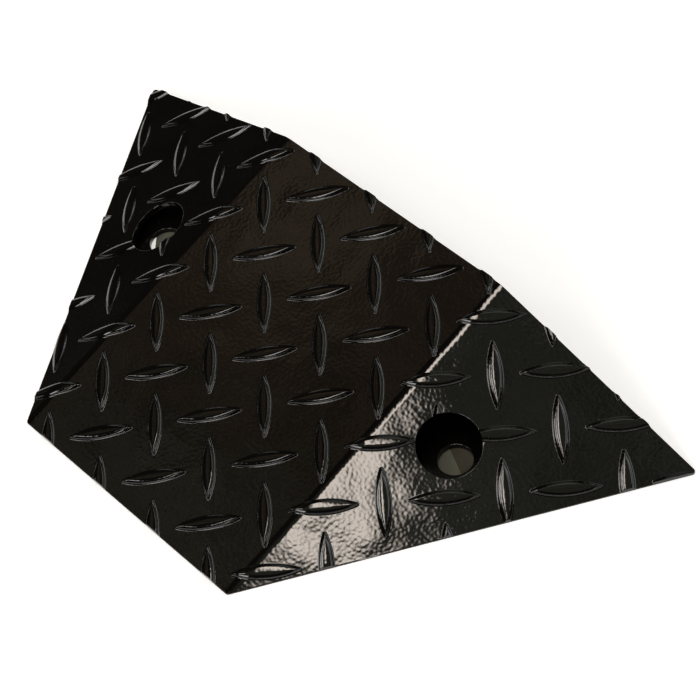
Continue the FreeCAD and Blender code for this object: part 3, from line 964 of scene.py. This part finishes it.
# %% Lay the welds
WELD_LEG = 3.0 * MM
BEAD_RADIUS = 0.72 * WELD_LEG
BEAD_OFFSET = 0.16 * WELD_LEG
STITCH_LENGTH = 25.0 * MM
STITCH_PITCH = 45.0 * MM
STITCH_START = 45.0 * MM
STITCHES = 3
DECK_NORMAL = Vector((0, -math.sin(SLOPE), math.cos(SLOPE)))

back_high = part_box("back_plate")[1]
seam_back = back_high.y - FRONT
seam_half = back_high.x - BEAD_RADIUS
crease = HALF_DECK - GAUGE * math.tan(FOLD / 2)
seam_out = Vector((0, 1, 0)) - DECK_NORMAL
seam_points = [
    under_flange(-seam_half, seam_back),
    under_deck(-crease, seam_back),
    under_deck(crease, seam_back),
    under_flange(seam_half, seam_back),
]
seam_points = [point + seam_out.normalized() * BEAD_OFFSET for point in seam_points]
weld("rippled_back_seam_weld", "back_seam_weld", [(seam_points, seam_out, BEAD_RADIUS)])

for place in ("left", "centre", "right"):
    rib_low, rib_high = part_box(f"deck_rib_{place}")
    lines = []
    for across, side in ((rib_low.x, -1), (rib_high.x, 1)):
        way_out = Vector((side, 0, 0)) - DECK_NORMAL
        inset = way_out.normalized() * BEAD_OFFSET
        for stitch in range(STITCHES):
            start = STITCH_START + stitch * STITCH_PITCH
            end = start + STITCH_LENGTH * math.cos(SLOPE)
            lines.append(([under_deck(across, start) + inset, under_deck(across, end) + inset],
                          way_out, BEAD_RADIUS))
    weld(f"rippled_rib_weld_{place}", f"rib_weld_{place}", lines)

SIDE_EDGE = Vector((FLANGE_REACH, DECK_RUN, 0)).normalized()
GROUND_CLEARANCE = 0.3 * MM
# The passes beyond an anchor plate's outer end: how far out, and the bead's radius.
WEDGE_PASSES = ((1.2 * MM, 1.55 * MM), (3.4 * MM, 1.0 * MM))
for place, side in (("left", -1), ("right", 1)):
    plate_low, plate_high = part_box(f"anchor_plate_{place}")
    rib_face, outer = sorted((abs(plate_low.x), abs(plate_high.x)))
    near, far, top = plate_low.y, plate_high.y, plate_high.z
    rib_out = Vector((side, 0, 1))
    lift = rib_out.normalized() * BEAD_OFFSET
    rib_line = [Vector((side * rib_face, y, top)) + lift for y in (near, far)]
    # Two passes side by side fill the wedge between the plate's outer end and the flange. They
    # are lifted by the height of a ripple, because nothing may stand below the ground.
    wedge_lines = []
    for beyond, radius in WEDGE_PASSES:
        end = Vector((outer + beyond, far, radius + GROUND_CLEARANCE))
        start = end - SIDE_EDGE * ((far - near) / SIDE_EDGE.y)
        points = [Vector((side * point.x, point.y, point.z)) for point in (start, end)]
        wedge_lines.append((points, Vector((0, 0, -1)), radius))
    weld(f"rippled_anchor_weld_{place}", f"anchor_weld_{place}",
         [(rib_line, rib_out, BEAD_RADIUS), *wedge_lines])

# %% [markdown]
# ## Camera
# A product shot of a low, flat thing is taken from well above, with a long lens from a good arm's
# length, so that its outline stays true. The camera here looks down at the right flange from the
# front right and is rolled a little, which leaves the deck climbing across the picture. It is
# placed by angles round a point inside the ramp, because those are what a tripod sets.

# %% Place the camera
LENS = 118.4
AZIMUTH = math.radians(57.43)
ELEVATION = math.radians(52.16)
ROLL = math.radians(-14.32)
DISTANCE = 1.1183
AIM = Vector((34.54, 30.24, 25.0)) * MM

towards_camera = Vector((
    math.sin(AZIMUTH) * math.cos(ELEVATION),
    -math.cos(AZIMUTH) * math.cos(ELEVATION),
    math.sin(ELEVATION),
))
camera_data = bpy.data.cameras.new("camera")
camera_data.lens = LENS
camera_data.sensor_width = 36.0
camera_data.clip_start = 0.01
camera_data.clip_end = 20.0
camera = add_object("camera", camera_data)
level = (-towards_camera).to_track_quat("-Z", "Y").to_matrix()
camera.matrix_world = Matrix.LocRotScale(
    AIM + towards_camera * DISTANCE,
    (level @ Matrix.Rotation(ROLL, 3, "Z")).to_quaternion(),
    None,
)
bpy.context.scene.camera = camera
print("camera at", [round(x, 3) for x in camera.location])

# %% [markdown]
# ## Floor, and boards of painted shade
# The floor is plain and pale. A glow of its own, seen by the camera and in reflections, brings it
# to white without one lamp more on the object, and it keeps the shadow. Under the ramp lie two
# thin sheets of painted shade, one grey and one brown, so that the floor's glow does not show
# there. They show only through the bolt holes, where they keep the eye from reading a hole as a
# bright spot. The grey one in front is lighter, a painted pool of the light that comes in through
# the access holes. The brown one behind is darker, painted deep shade. Past the grey one's left
# end the glowing floor shows through the left hole as a painted pool of light.

# %% Lay the floor and the boards of painted shade
FLOOR_TONE = (0.86, 0.86, 0.86, 1.0)
FLOOR_GLOW = 0.45
FLOOR_HEIGHT = -0.2 * MM
SHADE_BOARD_HEIGHT = -0.1 * MM


def stage_sheet(name, corners, height, material):
    mesh = bpy.data.meshes.new(name)
    mesh.from_pydata([(x, y, height) for x, y in corners], [], [range(len(corners))])
    mesh.materials.append(material)
    sheet = add_object(name, mesh)


def ray_kinds(tree):
    """1 for a ray from the camera, and 1 for a ray that comes off a gloss or through glass."""
    ray = add_node(tree, "ShaderNodeLightPath").outputs
    mirrored = Number(ray["Is Glossy Ray"]).math("MAXIMUM", ray["Is Transmission Ray"])
    return Number(ray["Is Camera Ray"]), mirrored


def floor_material():
    material = bpy.data.materials.new("pale_floor")
    tree = cleared_tree(material)
    matt = add_node(tree, "ShaderNodeBsdfDiffuse", {"Color": FLOOR_TONE})
    from_camera, mirrored = ray_kinds(tree)
    strength = from_camera.math("MAXIMUM", mirrored) * FLOOR_GLOW
    glow = add_node(tree, "ShaderNodeEmission", {"Strength": strength})
    both = add_node(tree, "ShaderNodeAddShader", {0: matt, 1: glow})
    add_node(tree, "ShaderNodeOutputMaterial", {"Surface": both})
    return material


# A matt sheet whose colour is painted shade under the ramp.
def painted_shade_material(name, colour):
    material = bpy.data.materials.new(name)
    material.use_nodes = True
    shader = material.node_tree.nodes["Principled BSDF"]
    shader.inputs["Base Color"].default_value = (*colour, 1.0)
    shader.inputs["Roughness"].default_value = 0.8
    return material


stage_sheet("floor", [(-4, -4), (4, -4), (4, 4), (-4, 4)], FLOOR_HEIGHT, floor_material())
# Painted shade, lighter as a painted pool of light; past its left end the floor's glow shows
# through.
stage_sheet(
    "front_board",
    [(-0.100, 0.010), (0.125, 0.005), (0.125, 0.018),
     (0.004, 0.075), (-0.130, 0.075), (-0.130, 0.041)],
    SHADE_BOARD_HEIGHT,
    painted_shade_material("grey_board", (0.116, 0.120, 0.090)),
)
# Painted deep shade, darker, behind the lighter sheet.
stage_sheet(
    "back_board",
    [(0.125, 0.018), (0.125, 0.075), (0.004, 0.075)],
    SHADE_BOARD_HEIGHT,
    painted_shade_material("brown_board", (0.047, 0.042, 0.028)),
)

# %% [markdown]
# ## Room and softbox
# Gloss black shows almost nothing but reflections, so the lights are placed by what each face
# mirrors. From this camera the deck mirrors the room high on the left, the right flange looks
# straight up, and the left flange sees the room behind the ramp. One long softbox hangs overhead,
# so that only the lower part of the right flange and the crease above it catch it.
#
# The rest of the room is the world: a dim ground tone and a list of soft-edged panels, each given
# by where it hangs and how bright it is. Most are out of the flat faces' sight. They are there for
# the lugs, whose rounded sides look in all directions and draw each panel as a thin line. All the
# panels and the softbox together light a level surface at about 1, so that a colour renders as it
# is written.
#
# A panel is one small group of dot products. An uneven tone over the panels gives the lines some
# life, as a real room does.

# %% A panel of light
def towards(azimuth, elevation):
    """A direction from its angles in degrees, with azimuth 0 along +X."""
    turn, lift = math.radians(azimuth), math.radians(elevation)
    level = math.cos(lift)
    return Vector((math.cos(turn) * level, math.sin(turn) * level, math.sin(lift)))


def soft_step(tree, value, start, end):
    """Fades from 0 to 1 while the value goes from start to end."""
    inputs = {"Value": value, "From Min": start, "From Max": end}
    node = add_node(tree, "ShaderNodeMapRange", inputs, interpolation_type="SMOOTHSTEP")
    return Number(node.outputs[0])


def light_panel_group():
    tree, given, made = new_tree("ShaderNodeTree", "light_panel", {
        "Direction": "Vector",
        "Centre": "Vector",
        "Across": "Vector",
        "Up": "Vector",
        "Half Width": 0.5,
        "Half Height": 0.5,
        "Softness": 0.05,
    }, {"Share": "Float"})

    half_width, half_height, softness = numbers_given(given)
    direction = given["Direction"]
    # In the opposite direction this leaves only a speck of the panel, too small to show.
    ahead = dot(tree, direction, given["Centre"]).math("MAXIMUM", 0.001)
    shares = []
    for axis, half in (("Across", half_width), ("Up", half_height)):
        away = (dot(tree, direction, given[axis]) / ahead).math("ABSOLUTE")
        shares.append(soft_step(tree, away, half + softness, half - softness))
    tree.links.new((shares[0] * shares[1]).socket, made.inputs["Share"])
    return tree


LIGHT_PANEL = light_panel_group()

# %% Room
# What hangs in the room: (azimuth, elevation, width, height and softness in degrees, radiance).
ROOM_PANELS = [
    (20, 76, 60, 44, 8, (0.20, 0.21, 0.17)),
    (-172, 58, 20, 14, 3, (0.17, 0.115, 0.07)),
    (-179.5, 56, 5, 4, 1.2, (0.20, 0.16, 0.11)),
    (-163, 56, 6, 10, 2, (0.01, 0.05, 0.05)),
    (122, 70, 10, 12, 2, (0.80, 0.78, 0.70)),
    (-176, 15, 8, 10, 2, (0.05, 0.05, 0.04)),
    (131, 46, 11, 18, 3, (0.70, 0.72, 0.70)),
    (154, 16, 6, 7, 1.5, (1.00, 1.00, 0.95)),
    (106, 36, 20, 12, 2, (2.20, 2.25, 2.25)),
    (66, 28, 46, 13, 2, (3.30, 3.37, 3.37)),
    (66, 40, 46, 9, 2, (1.40, 1.43, 1.43)),
    (38, 52, 14, 10, 2, (2.00, 2.05, 2.00)),
    (-72, 32, 20, 22, 2, (7.50, 7.35, 7.20)),
    (-105, 67, 9, 12, 2, (8.00, 7.70, 7.30)),
    (-125, 50, 12, 11, 2, (10.0, 9.60, 9.20)),
    (-140, 20, 10, 22, 3, (2.00, 1.92, 1.84)),
]
DIM_ROOM = (0.030, 0.028, 0.024)
MOTTLE = 2.6
MOTTLE_SCALE = 26.0
# A mirrored ray that climbs less than this still meets white, as if the floor had no end.
HORIZON = 0.03


def room():
    world = bpy.data.worlds.new("room")
    bpy.context.scene.world = world
    tree = cleared_tree(world)
    direction = add_node(tree, "ShaderNodeTexCoord").outputs["Generated"]
    glow = None
    for azimuth, elevation, width, height, softness, radiance in ROOM_PANELS:
        panel = add_node(tree, "ShaderNodeGroup", {
            "Direction": direction,
            "Centre": towards(azimuth, elevation),
            "Across": towards(azimuth + 90, 0),
            "Up": towards(azimuth, elevation + 90),
            "Half Width": math.tan(math.radians(width / 2)),
            "Half Height": math.tan(math.radians(height / 2)),
            "Softness": math.radians(softness),
        }, node_tree=LIGHT_PANEL)
        inputs = {0: radiance, 1: panel.outputs["Share"], 2: glow or DIM_ROOM}
        glow = add_node(tree, "ShaderNodeVectorMath", inputs, operation="MULTIPLY_ADD").outputs[0]

    inputs = {"Vector": direction, "Scale": MOTTLE_SCALE, "Detail": 3.0}
    patches = Number(add_node(tree, "ShaderNodeTexNoise", inputs).outputs["Fac"])
    mottle = (patches - 0.5) * MOTTLE + 1.0
    uneven = add_node(tree, "ShaderNodeVectorMath", {0: glow, "Scale": mottle}, operation="SCALE")

    height = Number(add_node(tree, "ShaderNodeSeparateXYZ", {0: direction}).outputs["Z"])
    from_camera, mirrored = ray_kinds(tree)
    white = from_camera.math("MAXIMUM", (height < HORIZON) * mirrored)
    dim = add_node(tree, "ShaderNodeBackground", {"Color": uneven})
    pale = add_node(tree, "ShaderNodeBackground", {"Color": (1.0, 1.0, 1.0, 1.0)})
    mix = add_node(tree, "ShaderNodeMixShader", {0: white, 1: dim, 2: pale})
    add_node(tree, "ShaderNodeOutputWorld", {"Surface": mix})


room()

# %% The long softbox
def softbox(name, place, turn, width, depth, rims, radiance, colour):
    """An area lamp that looks down, with rims that fade, set by its radiance."""
    data = bpy.data.lights.new(name, "AREA")
    data.shape = "RECTANGLE"
    data.size, data.size_y = width, depth
    data.color = colour
    data.energy = radiance * math.pi * width * depth
    tree = cleared_tree(data)
    spot = add_node(tree, "ShaderNodeNewGeometry").outputs["Parametric"]
    parts = add_node(tree, "ShaderNodeSeparateXYZ", {0: spot}).outputs
    fades = []
    for part, size, rim in zip(parts, (width, depth), rims):
        from_rim = (0.5 - (Number(part) - 0.5).math("ABSOLUTE")) * size
        fades.append(soft_step(tree, from_rim, 0.0, rim))
    glow = add_node(tree, "ShaderNodeEmission", {"Strength": fades[0] * fades[1]})
    add_node(tree, "ShaderNodeOutputLight", {"Surface": glow})
    lamp = add_object(name, data)
    lamp.visible_camera = False
    lamp.matrix_world = Matrix.LocRotScale(Vector(place), Euler((0, 0, turn)).to_quaternion(), None)


softbox(
    "long_overhead",
    place=(0.080, -0.072, 2.0),
    turn=math.radians(-36.9),
    width=1.12,
    depth=0.33,
    rims=(0.11, 0.15),
    radiance=14.3,
    colour=(1.0, 0.885, 0.785),
)
print("lamps:", [light.name for light in bpy.data.lights])

# %% [markdown]
# ## Finish
# The view transform is Standard, so a colour renders as it is written.

# %% Finish
bpy.context.scene.view_settings.view_transform = "Standard"
bpy.context.view_layer.update()
